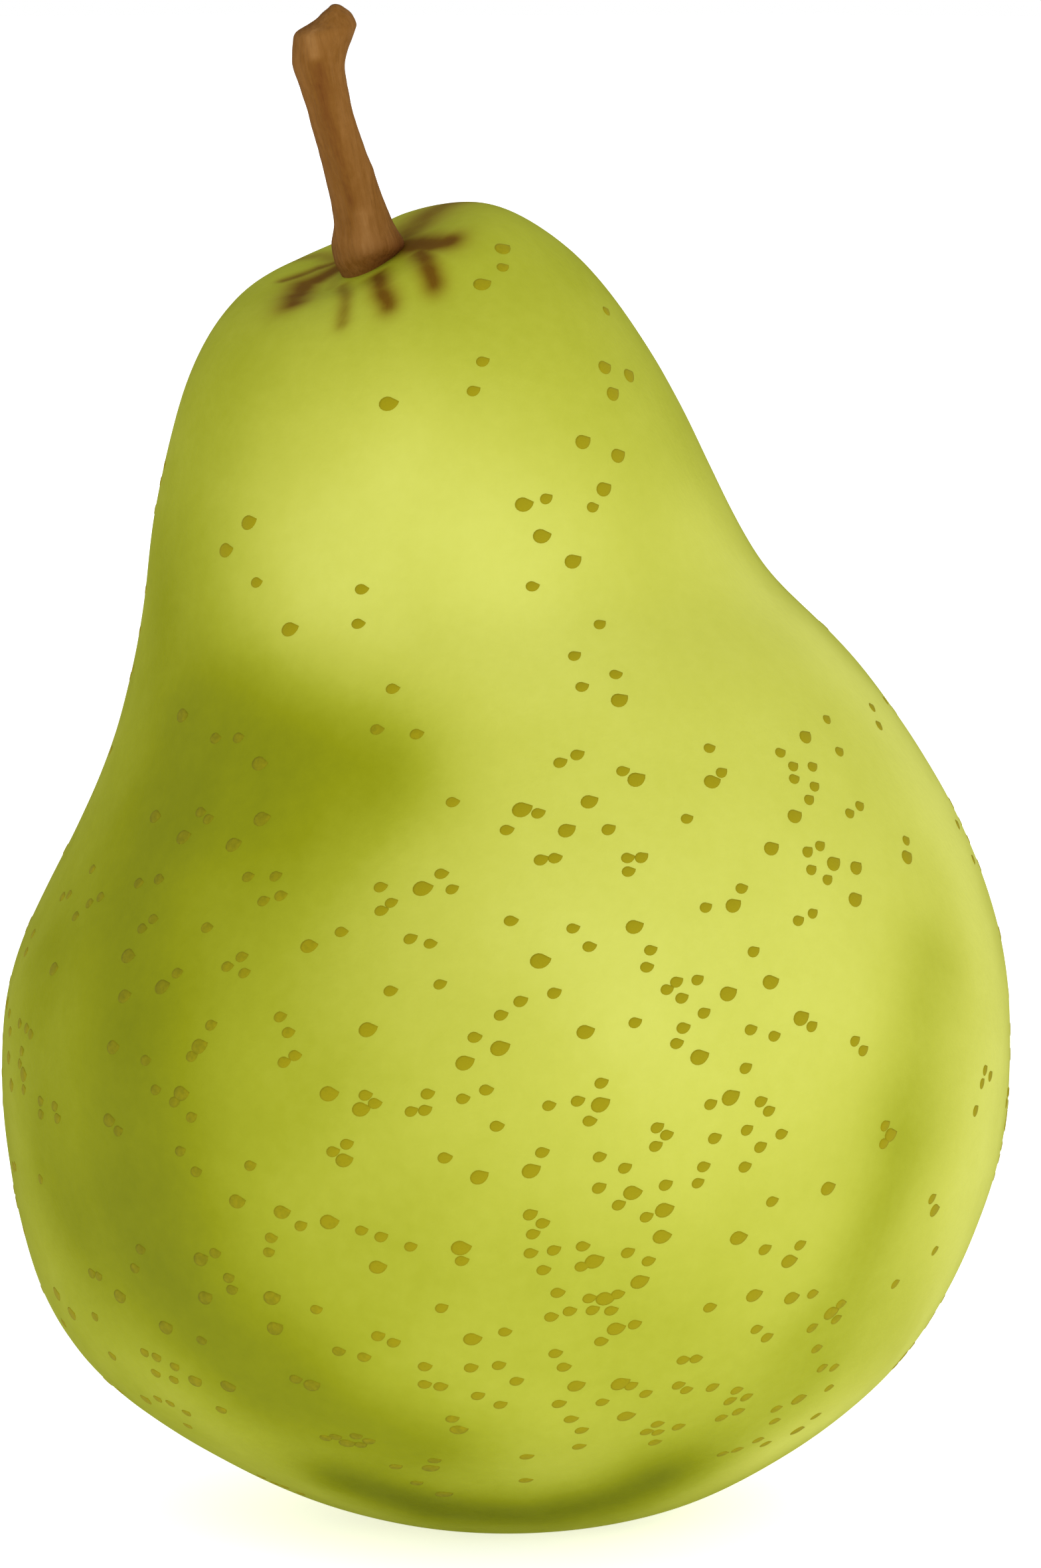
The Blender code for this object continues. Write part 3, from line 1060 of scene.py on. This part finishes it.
@dataclass
class Lenticels:
    """The spots on the skin: one small dome is modelled, and copied with its own mesh each time."""

    foot: Vector
    seed: int = 11
    sides: int = 16
    width: float = 1.34
    small_share: float = 0.74
    squat: float = 0.84
    dome: float = 0.045
    dome_top: float = 0.72
    root: float = 0.10
    count: int = 960
    tries_each: int = 6
    spacing: float = 1.75
    neck_spacing: float = 1.6
    size_range: tuple[float, float] = (0.94, 1.06)
    tip_turn: float = 18.0
    tip_sway: float = 9.0
    twin_share: float = 0.40
    twin_reach: tuple[float, float] = (0.8, 1.9)
    touching: float = 0.85
    clear_of_stem: float = 8.0
    # The front is where y is below this. Over the shoulder's height it has only the neck's groups, whose
    # places are looked for from a plane well before the pear.
    front: float = -4.0
    shoulder: float = 59.0
    well_before: float = -80.0
    # How thickly they stand by height, and at the front also by x: pairs of a place and a density there.
    by_height: Pairs = (
        (0.5, 0.0), (7.0, 0.12), (14.0, 1.0), (36.0, 0.95), (56.0, 0.75), (66.0, 0.25), (90.0, 0.18),
    )
    by_x: Pairs = (
        (-34, 0.5), (-24, 0.9), (-8, 1.1), (2, 1.7), (18, 1.7), (26, 0.4), (29, 0.06),
    )
    # The outline of a spot: how far each side stands out, from its tip round over its top.
    outline: tuple[float, ...] = (
        1.14, 0.88, 0.80, 0.86, 0.93, 0.97, 0.99, 1.0, 1.0, 0.98, 0.95, 0.92, 0.90, 0.89, 0.91, 0.99,
    )
    # Where the few spots on the front of the neck gather: x, height, how many, and how far they spread.
    neck_groups: Rows = (
        (0, 90, 3, 2), (6, 86, 3, 4), (-5, 84, 3, 5), (6, 80, 2, 1.5), (6, 76, 3, 2), (3, 72, 5, 3),
        (-17, 69, 4, 4), (-9, 67, 2, 2), (7, 64, 5, 3), (-8, 61, 3, 2), (-20, 61, 2, 3),
    )

    def model(self) -> bpy.types.Object:
        """Models one large spot, flat on the XY plane with its tip to +X.

        Returns:
            The spot's object.
        """
        put_down()
        bpy.ops.mesh.primitive_circle_add(
            vertices=self.sides, radius=self.width / 2 * MM, fill_type="NGON", rotation=(0, 0, -math.pi / 2)
        )
        spot = settle(bpy.context.active_object, "spot")
        turn = 2 * math.pi / self.sides
        for vertex in spot.data.vertices:
            side = round(math.atan2(vertex.co.y, vertex.co.x) / turn) % self.sides
            vertex.co *= self.outline[side]
            vertex.co.y *= self.squat
        bpy.ops.object.mode_set(mode="EDIT")
        bpy.ops.mesh.select_all(action="SELECT")
        bpy.ops.transform.translate(value=(0, 0, -self.root * MM))
        bpy.ops.mesh.extrude_region_move(TRANSFORM_OT_translate={"value": (0, 0, self.root * MM)})
        bpy.ops.mesh.extrude_region_move(TRANSFORM_OT_translate={"value": (0, 0, self.dome * MM)})
        bpy.ops.transform.resize(value=(self.dome_top, self.dome_top, 1.0), center_override=(0, 0, 0))
        bpy.ops.object.mode_set(mode="OBJECT")
        face_outwards(spot)
        return spot

    def crowding(self, points: np.ndarray) -> np.ndarray:
        """How thickly the spots stand at places on the skin: sparse on the neck, dense below.

        Args:
            points: The places, in millimetres.

        Returns:
            The relative densities.
        """
        x, y, z = points.T
        density = np.interp(z, *zip(*self.by_height))
        at_front = y < self.front
        density[at_front & (z > self.shoulder)] = 0.0
        density[at_front] *= np.interp(x, *zip(*self.by_x))[at_front]
        by_stem = np.linalg.norm(points - np.array(self.foot), axis=1) < self.clear_of_stem
        density[by_stem] = 0.0
        return density

    def on_the_neck(self, tree: BVHTree, rng: random.Random) -> list[tuple[Vector, Vector, float]]:
        """The few spots on the front of the neck, scattered in their groups.

        Args:
            tree: The skin's faces.
            rng: Where the chances are drawn from.

        Returns:
            For each spot its place, the way the skin faces there, and its size against a large one.
        """
        found = []
        for x, height, count, spread in self.neck_groups:
            wanted = len(found) + count
            while len(found) < wanted:
                aside, up = rng.uniform(-spread, spread), rng.uniform(-spread, spread)
                start = Vector((x + aside, self.well_before, height + up)) * MM
                place, normal, *_ = tree.ray_cast(start, Vector((0, 1, 0)))
                if place is None:
                    continue
                if min(((place - other).length for other, *_ in found), default=1) < self.neck_spacing * MM:
                    continue
                found.append((place, normal, rng.choice((1.0, self.small_share, self.small_share))))
        return found

    def places(self, skin: bpy.types.Object) -> list[tuple[Vector, Vector, float]]:
        """Where the spots stand.

        Args:
            skin: The skin's object.

        Returns:
            For each spot its place, the way the skin faces there, and its size against a large one.
        """
        rng = random.Random(self.seed)
        tree = BVHTree.FromObject(skin, bpy.context.evaluated_depsgraph_get())
        found = self.on_the_neck(tree, rng)
        faces = skin.data.polygons
        areas = np.array([face.area for face in faces])
        middles = np.array([face.center for face in faces]) / MM
        share = areas * self.crowding(middles)
        picker = np.random.default_rng(self.seed)
        picks = picker.choice(len(faces), size=self.tries_each * self.count, p=share / share.sum())
        kept = [place / MM for place, _, _ in found]
        for pick in picks:
            if len(found) >= self.count:
                break
            place = Vector(middles[pick])
            if min((place - other).length for other in kept) < self.spacing:
                continue
            kept.append(place)
            size = rng.choice((1.0, 1.0, self.small_share, self.small_share, self.small_share))
            found.append((place * MM, faces[pick].normal.copy(), size * rng.uniform(*self.size_range)))
            while rng.random() < self.twin_share:
                step = Vector((rng.uniform(-1, 1), rng.uniform(-1, 1), rng.uniform(-1, 1)))
                step = step.cross(faces[pick].normal).normalized() * rng.uniform(*self.twin_reach) * MM
                twin, normal, *_ = tree.find_nearest(place * MM + step)
                if min((twin / MM - other).length for other in kept) < self.touching:
                    continue
                kept.append(twin / MM)
                found.append((twin, normal, self.small_share))
        return found

    def build(self, skin: bpy.types.Object) -> bpy.types.Object:
        """Models the spots and sets them on the skin, their tips to the right.

        Args:
            skin: The skin's object.

        Returns:
            The spots, as one object.
        """
        rng = random.Random(self.seed + 1)
        model = self.model()
        spots = []
        for number, (place, normal, size) in enumerate(self.places(skin)):
            right = Vector((0, 0, 1)).cross(normal).normalized()
            up = normal.cross(right)
            turn = math.radians(self.tip_turn + rng.uniform(-self.tip_sway, self.tip_sway))
            along = math.cos(turn) * right + math.sin(turn) * up
            across = normal.cross(along)
            stand = Matrix((along, across, normal)).transposed().to_4x4()
            stand = Matrix.Translation(place) @ stand @ Matrix.Diagonal((size, size, 1.0, 1.0))
            spot = copy_of(model, stand, f"spot_{number}")
            # Each spot takes the skin's tone at its place, with the painted light and shade there.
            tone = tones_and_painted_light_at(np.array([place]) / MM)[0]
            paint_on(spot, "tone", np.full(len(spot.data.vertices), tone))
            spots.append(spot)
        bpy.data.objects.remove(model)
        joined = join(spots, "lenticels")
        dress(joined, LenticelFinish().make())
        return joined


# --- The stem --------------------------------------------------------------------------------------------


@dataclass
class Stem:
    """The woody stem: a flared foot in the flesh, a fibred shaft, and a knob with a slanted scar."""

    foot: Vector
    sides: int = 16
    rounding: int = 3
    ridge: float = 0.09
    lump_size: float = 1.6
    lump_height: float = 0.16
    plain_root: int = 5
    plain_tip: int = 6
    # Its hoops from root to tip: the middle's x, y and height from the foot, the width, how far the right
    # side is lifted, in degrees, and the depth against the width.
    hoops: Rows = (
        (0.2, 0.3, -3.1, 2.3, 10, 1.0),
        (0.2, 0.2, -1.3, 3.0, 10, 1.0),
        (0.1, 0.1, 0.1, 4.2, 9, 1.0),
        (0.2, 0.0, 1.0, 5.0, 7, 1.0),
        (0.1, -0.1, 1.8, 4.9, 5, 1.0),
        (-0.1, -0.3, 2.9, 4.2, 1, 1.0),
        (-0.6, -0.7, 4.9, 3.7, 0, 1.0),
        (-1.2, -1.1, 6.9, 3.5, -2, 1.0),
        (-1.8, -1.5, 8.9, 3.3, -3, 1.0),
        (-2.4, -1.8, 10.9, 3.2, -3, 1.0),
        (-2.9, -1.9, 12.8, 3.4, -3, 1.0),
        (-3.2, -1.9, 14.3, 3.7, -3, 1.0),
        (-3.0, -1.8, 15.6, 4.0, -1, 1.0),
        (-2.7, -1.7, 16.5, 4.2, 3, 1.0),
        (-2.3, -1.7, 17.0, 3.5, 3, 1.0),
        (-2.1, -1.7, 17.5, 2.6, 6, 1.1),
        (-2.1, -1.7, 17.9, 1.8, 8, 1.3),
        (-2.1, -1.7, 18.25, 0.9, 12, 1.9),
        (-2.2, -1.7, 18.4, 0.4, 14, 2.8),
    )
    # The points of a hoop that stand out as ridges and sink as furrows, but for the plain hoops at its ends.
    ridges: tuple[int, ...] = (1, 5, 8, 11, 14)
    furrows: tuple[int, ...] = (3, 6, 10, 13)
    # Its light and dark places, painted light and shade over the bark's own streaks, from the foot: the
    # front's dark line, the knob's and the shaft's light ones, the foot's, the back's dark one, and the scar.
    base_tone: float = 0.61
    light_and_shade_strokes: tuple[Stroke, ...] = (
        Stroke(
            0.33, 0.9, 0.85, ((-3.3, -3.6, 14.6), (-2.4, -3.6, 10.6), (-1.4, -3.3, 6.6), (-0.7, -2.6, 3.3))
        ),
        Stroke(0.92, 0.9, 0.5, ((-3.8, -3.6, 17.0), (-3.5, -3.8, 15.0))),
        Stroke(0.66, 0.8, 0.6, ((-1.7, -3.7, 11.6), (-0.7, -3.3, 7.6), (0.0, -2.8, 4.6))),
        Stroke(0.86, 0.9, 0.7, ((-0.3, -2.5, 3.7), (0.2, -2.8, 1.1))),
        Stroke(0.30, 0.8, 1.3, ((-2.1, 1.0, 12.1), (-0.1, 1.6, 6.1))),
        Stroke(0.25, 0.7, 0.8, ((-4.3, -1.8, 17.5), (-2.7, -1.7, 18.5))),
    )
    ruddy_heel: Stroke = Stroke(1.0, 0.75, 1.3, ((2.7, -0.5, 1.0), (1.3, -2.6, -0.3)))

    def build(self) -> bpy.types.Object:
        """Models the stem.

        Returns:
            The stem's object, painted.
        """
        hoops = []
        for x, y, height, width, lift, flat in self.hoops:
            lift = math.radians(lift)
            sideways = (width / 2 * math.cos(lift), 0.0, width / 2 * math.sin(lift))
            middle = tuple(self.foot + Vector((x, y, height)))
            hoops.append(Hoop(middle, sideways, (0.0, width / 2 * flat, 0.0)))
        stem = loft("woody_stem", through(hoops, self.sides), self.sides)
        self.press(stem, self.ridges, self.ridge)
        self.press(stem, self.furrows, -self.ridge)
        smooth(stem, self.rounding)
        roughen(stem, self.lump_size, self.lump_height)
        self.paint(stem)
        return stem

    def press(self, stem: bpy.types.Object, lines: tuple[int, ...], height: float) -> None:
        """Raises or sinks lengthwise lines of the shaft.

        Args:
            stem: The stem's object, before it is rounded.
            lines: The lines, counted round the stem.
            height: How far they go out, in millimetres.
        """
        take(stem)
        first, last = self.plain_root * self.sides, (len(self.hoops) - self.plain_tip) * self.sides
        for vertex in stem.data.vertices:
            vertex.select = vertex.index % self.sides in lines and first <= vertex.index < last
        for edge in stem.data.edges:
            edge.select = False
        for face in stem.data.polygons:
            face.select = False
        bpy.ops.object.mode_set(mode="EDIT")
        bpy.ops.transform.shrink_fatten(value=height * MM)
        bpy.ops.object.mode_set(mode="OBJECT")

    def paint(self, stem: bpy.types.Object) -> None:
        """Paints the lengthwise light and dark streaks of painted light and shade, the ruddy foot and the
        scar.

        Args:
            stem: The stem's object.
        """
        points = points_of(stem) - np.array(self.foot)
        # The tone is the painted light and shade over the bark's own streaks.
        tone = np.full(len(points), self.base_tone)
        for stroke in self.light_and_shade_strokes:
            tone = stroke.over(tone, points)
        ruddy = self.ruddy_heel.over(np.zeros(len(points)), points)
        paint_on(stem, "tone", tone)
        paint_on(stem, "ruddy", ruddy)
        dress(stem, BarkFinish().make())


# --- The dry flower --------------------------------------------------------------------------------------


@dataclass
class DryFlower:
    """What is left of the flower, in the basin: a disc, five curled sepals and a tuft of stamens."""

    seed: int = 5
    top: float = far_corner("calyx_disc").z
    disc_radius: float = far_corner("calyx_disc").x
    # The disc's boss: its radius, and its height over the disc's top. Then the disc's rings from there to the
    # middle of its hollow: shares of its radius, and shares of its thickness below its top.
    disc_boss: tuple[float, float] = (0.3, 0.1)
    disc_rings: Pairs = (
        (0.80, 0.05), (1.00, 0.30), (1.00, 0.62), (0.92, 0.95),
        (0.80, 1.00), (0.68, 0.80), (0.60, 0.55), (0.20, 0.50),
    )
    disc_thickness: float = 0.9
    disc_points: int = 20
    # The crimps of the disc, and the creases of a sepal: how large the lumps are, and how high.
    disc_crimps: tuple[float, float] = (0.7, 0.14)
    sepal_creases: tuple[float, float] = (0.9, 0.18)
    sepal_count: int = 5
    sepal_length: float = 4.3
    sepal_width: float = 2.8
    sepal_thickness: float = 0.28
    sepal_lean: float = 30.0
    # How the sepals differ: in lean and in bearing, in degrees either way, and in size.
    lean_sway: float = 3.0
    bearing_sway: float = 4.0
    sepal_sizes: tuple[float, float] = (0.90, 1.0)
    # How far outside the disc and below its top a sepal starts.
    sepal_start: tuple[float, float] = (0.45, 0.2)
    # Its width along it: its share at the start, how fast that grows, and how fast the blade then narrows.
    sepal_blade: tuple[float, float, float] = (0.72, 0.95, 1.55)
    # How hollow it is at its start, how much of that is gone at its tip, how far its tip curls out, and how
    # far its blade wavers.
    sepal_hollow: float = 0.55
    hollow_lost: float = 0.4
    sepal_curl: float = 0.75
    sepal_waver: float = 0.10
    stamen_count: int = 17
    stamen_length: float = 1.9
    stamen_radius: float = 0.10
    stamen_bow: float = 0.15
    stamen_sides: int = 6
    # A stamen from its foot to its tip: its thickness in shares of its radius, at shares of its length.
    stamen_steps: Pairs = (
        (1.3, 0.0), (1.0, 0.25), (0.8, 0.5), (0.7, 0.78), (1.5, 0.86), (1.7, 0.94), (0.8, 1.0),
    )
    # How wide the tuft is, how far below the disc's top it starts, how its stamens lean out, in radians a
    # millimetre from its middle, and the turn from one stamen to the next, in degrees. Then how the stamens
    # differ, in lean and in size.
    tuft_radius: float = 1.15
    tuft_start: float = 0.42
    tuft_spread: float = 0.28
    turn_between: float = 137.5
    lean_range: tuple[float, float] = (0.6, 1.5)
    stamen_sizes: tuple[float, float] = (0.8, 1.05)

    def build_disc(self) -> bpy.types.Object:
        """Models the disc, hollow side down, with a crimped rim.

        Returns:
            The disc's object.
        """
        radius, above = self.disc_boss
        hoops = [level_hoop(radius, self.top + above)]
        for out, down in self.disc_rings:
            hoops.append(level_hoop(out * self.disc_radius, self.top - down * self.disc_thickness))
        disc = loft("flower_disc", hoops, self.disc_points)
        smooth(disc, 2)
        roughen(disc, *self.disc_crimps)
        return disc

    def model_sepal(self) -> bpy.types.Object:
        """Models one sepal, hanging from the disc's edge on the +Y side.

        Returns:
            The sepal's object.
        """
        put_down()
        bpy.ops.mesh.primitive_grid_add(x_subdivisions=4, y_subdivisions=7, size=1.0)
        sepal = settle(bpy.context.active_object, "sepal_model")
        start, growth, narrowing = self.sepal_blade
        for vertex in sepal.data.vertices:
            across, share = 2 * vertex.co.x, vertex.co.y + 0.5
            width = self.sepal_width * (start + growth * share - narrowing * share**2)
            hollow = self.sepal_hollow * (1 - across**2) * (1 - self.hollow_lost * share)
            out = hollow + self.sepal_curl * share**3 + self.sepal_waver * math.sin(9 * share + 3 * across)
            vertex.co = Vector((across * width / 2, out, -share * self.sepal_length)) * MM
        work(sepal, "SOLIDIFY", thickness=self.sepal_thickness * MM, offset=0.0)
        smooth(sepal, 2)
        face_outwards(sepal)
        return sepal

    def build_sepals(self) -> list[bpy.types.Object]:
        """Copies the sepal round the disc, each a little different.

        Returns:
            The sepals' objects.
        """
        rng = random.Random(self.seed)
        model = self.model_sepal()
        sepals = []
        outside, below = self.sepal_start
        base = Vector((0, self.disc_radius + outside, self.top - below)) * MM
        for number in range(self.sepal_count):
            lean = math.radians(self.sepal_lean + rng.uniform(-self.lean_sway, self.lean_sway))
            size = rng.uniform(*self.sepal_sizes)
            stray = math.radians(rng.uniform(-self.bearing_sway, self.bearing_sway))
            turn = 2 * math.pi * number / self.sepal_count + stray
            place = Matrix.Rotation(turn, 4, "Z") @ Matrix.Translation(base)
            place = place @ Matrix.Rotation(lean, 4, "X") @ Matrix.Scale(size, 4)
            sepal = copy_of(model, place, f"dried_sepal_{number + 1}")
            roughen(sepal, *self.sepal_creases)
            sepals.append(sepal)
        bpy.data.objects.remove(model)
        return sepals

    def model_stamen(self) -> bpy.types.Object:
        """Models one stamen: a thin filament that hangs down, with a small anther at its end.

        Returns:
            The stamen's object.
        """
        radius, length = self.stamen_radius, self.stamen_length
        hoops = [
            level_hoop(wide * radius, -share * length, self.stamen_bow * share**2 * length)
            for wide, share in self.stamen_steps
        ]
        return loft("stamen_model", hoops, self.stamen_sides)

    def build_stamens(self) -> bpy.types.Object:
        """Copies the stamen into a tuft under the disc's hollow.

        Returns:
            The tuft's object.
        """
        rng = random.Random(self.seed + 1)
        model = self.model_stamen()
        tuft = []
        for number in range(self.stamen_count):
            bearing = number * math.radians(self.turn_between)
            out = self.tuft_radius * math.sqrt((number + 0.5) / self.stamen_count)
            height = self.top - self.tuft_start
            foot = Vector((out * math.cos(bearing), out * math.sin(bearing), height)) * MM
            lean = -self.tuft_spread * out * rng.uniform(*self.lean_range)
            lean = Euler((0, lean, bearing)).to_matrix().to_4x4()
            size = Matrix.Scale(rng.uniform(*self.stamen_sizes), 4)
            tuft.append(copy_of(model, Matrix.Translation(foot) @ lean @ size, f"stamen_{number}"))
        bpy.data.objects.remove(model)
        return join(tuft, "stamen_tuft")

    def build(self) -> None:
        """Builds the flower, gives it its finishes and hands its pieces over."""
        dry = DryFinish("dry_sepal", pigment(58, 38, 22), pigment(128, 98, 62)).make()
        brittle = DryFinish("dry_stamen", pigment(44, 30, 18), pigment(104, 78, 46)).make()
        disc = self.build_disc()
        sepals = self.build_sepals()
        tuft = self.build_stamens()
        for piece, finish in ((disc, dry), (tuft, brittle), *((sepal, dry) for sepal in sepals)):
            dress(piece, finish)
        hand_over(disc, Slot.SEPAL, "calyx_disc")
        hand_over(tuft, Slot.STAMEN, "stamens")
        for number, sepal in enumerate(sepals):
            hand_over(sepal, Slot.SEPAL, f"sepal_{number + 1}")


# --- The studio ------------------------------------------------------------------------------------------


@dataclass(frozen=True)
class Softbox:
    """A square softbox aimed at the pear: its bearing to the right of the front, its elevation, and its size.

    It lights the pear either way, and in_gloss says whether it also shows as a highlight.
    """

    name: str
    bearing: float
    elevation: float
    distance_m: float
    side_m: float
    watts: float
    in_gloss: bool

    def place(self, target: Vector) -> None:
        """Hangs the softbox.

        Args:
            target: What it is aimed at, in metres.
        """
        bearing, elevation = math.radians(self.bearing), math.radians(self.elevation)
        level = math.cos(elevation)
        away = Vector((math.sin(bearing) * level, -math.cos(bearing) * level, math.sin(elevation)))
        light = bpy.data.lights.new(self.name, "AREA")
        light.shape = "SQUARE"
        light.size = self.side_m
        light.energy = self.watts
        holder = bpy.data.objects.new(self.name, light)
        holder.location = target + self.distance_m * away
        holder.rotation_euler = away.to_track_quat("Z", "Y").to_euler()
        holder.visible_camera = False
        holder.visible_glossy = self.in_gloss
        bpy.context.scene.collection.objects.link(holder)


@dataclass(frozen=True)
class Studio:
    """A white room: a pale floor that glows a little, a white sky, softboxes, and a long lens."""

    sky: float = 1.0
    white: Colour = (1.0, 1.0, 1.0)
    floor_glow: float = 0.60
    floor_radius_m: float = 1.6
    floor_sides: int = 96
    floor_drop: float = 0.02
    floor_roughness: float = 0.9
    floor_gloss: float = 0.1
    cloudiness: Grain = Grain(40.0, 0.5)
    papers: Stops = ((0.0, (0.93, 0.93, 0.925)), (1.0, (0.95, 0.95, 0.945)))
    target: Point = (1.04, 0.0, 52.4)
    camera_elevation: float = 8.0
    camera_distance_m: float = 0.75
    view_height: float = 111.6
    sensor: float = 36.0
    softboxes: tuple[Softbox, ...] = (
        Softbox("key", 32.0, 22.0, 1.1, 0.7, 3.2, True),
        Softbox("rim", -140.0, 30.0, 1.2, 0.7, 0.9, False),
        Softbox("back_fill", 150.0, 25.0, 1.2, 0.7, 1.2, False),
    )

    def set_camera(self) -> None:
        """Sets up the camera, aimed at the pear's middle from a little above it."""
        elevation = math.radians(self.camera_elevation)
        away = Vector((0.0, -math.cos(elevation), math.sin(elevation)))
        lens = bpy.data.cameras.new("camera")
        lens.sensor_width = self.sensor
        lens.lens = self.sensor * self.camera_distance_m / (self.view_height * MM)
        lens.clip_start = 0.01
        lens.clip_end = 20.0
        camera = bpy.data.objects.new("camera", lens)
        camera.location = Vector(self.target) * MM + self.camera_distance_m * away
        camera.rotation_euler = away.to_track_quat("Z", "Y").to_euler()
        bpy.context.scene.collection.objects.link(camera)
        bpy.context.scene.camera = camera

    def lay_floor(self) -> None:
        """Lays a round, pale, matt floor just under the pear."""
        put_down()
        bpy.ops.mesh.primitive_circle_add(
            vertices=self.floor_sides,
            radius=self.floor_radius_m,
            fill_type="NGON",
            location=(0, 0, -self.floor_drop * MM),
        )
        floor = settle(bpy.context.active_object, "studio_floor")
        recipe = Recipe("studio_floor")
        recipe.give(
            Base_Color=recipe.ramp(recipe.noise(self.cloudiness, 0.5), self.papers),
            Roughness=self.floor_roughness,
            Specular_IOR_Level=self.floor_gloss,
            Emission_Color=(*self.white, 1.0),
            Emission_Strength=self.floor_glow,
        )
        floor.data.materials.append(recipe.material)
        floor.visible_glossy = False

    def build(self) -> None:
        """Sets up the whole studio."""
        scene = bpy.context.scene
        world = bpy.data.worlds.new("studio")
        world.use_nodes = True
        backdrop = world.node_tree.nodes["Background"]
        backdrop.inputs["Color"].default_value = (*self.white, 1.0)
        backdrop.inputs["Strength"].default_value = self.sky
        world.cycles_visibility.glossy = False
        scene.world = world
        scene.view_settings.view_transform = "Standard"
        self.set_camera()
        self.lay_floor()
        for softbox in self.softboxes:
            softbox.place(Vector(self.target) * MM)


def main() -> None:
    """Builds the studio and then the pear, piece by piece."""
    logging.basicConfig(level=logging.INFO, format="%(name)s: %(message)s")
    Studio().build()
    fruit = Fruit()
    skin = fruit.build()
    hand_over(skin, Slot.SKIN, "pear_body")
    hand_over(Lenticels(fruit.stem_foot()).build(skin), Slot.SKIN)
    hand_over(Stem(fruit.stem_foot()).build(), Slot.BARK, "stem")
    DryFlower().build()


if __name__ == "__main__":
    main()
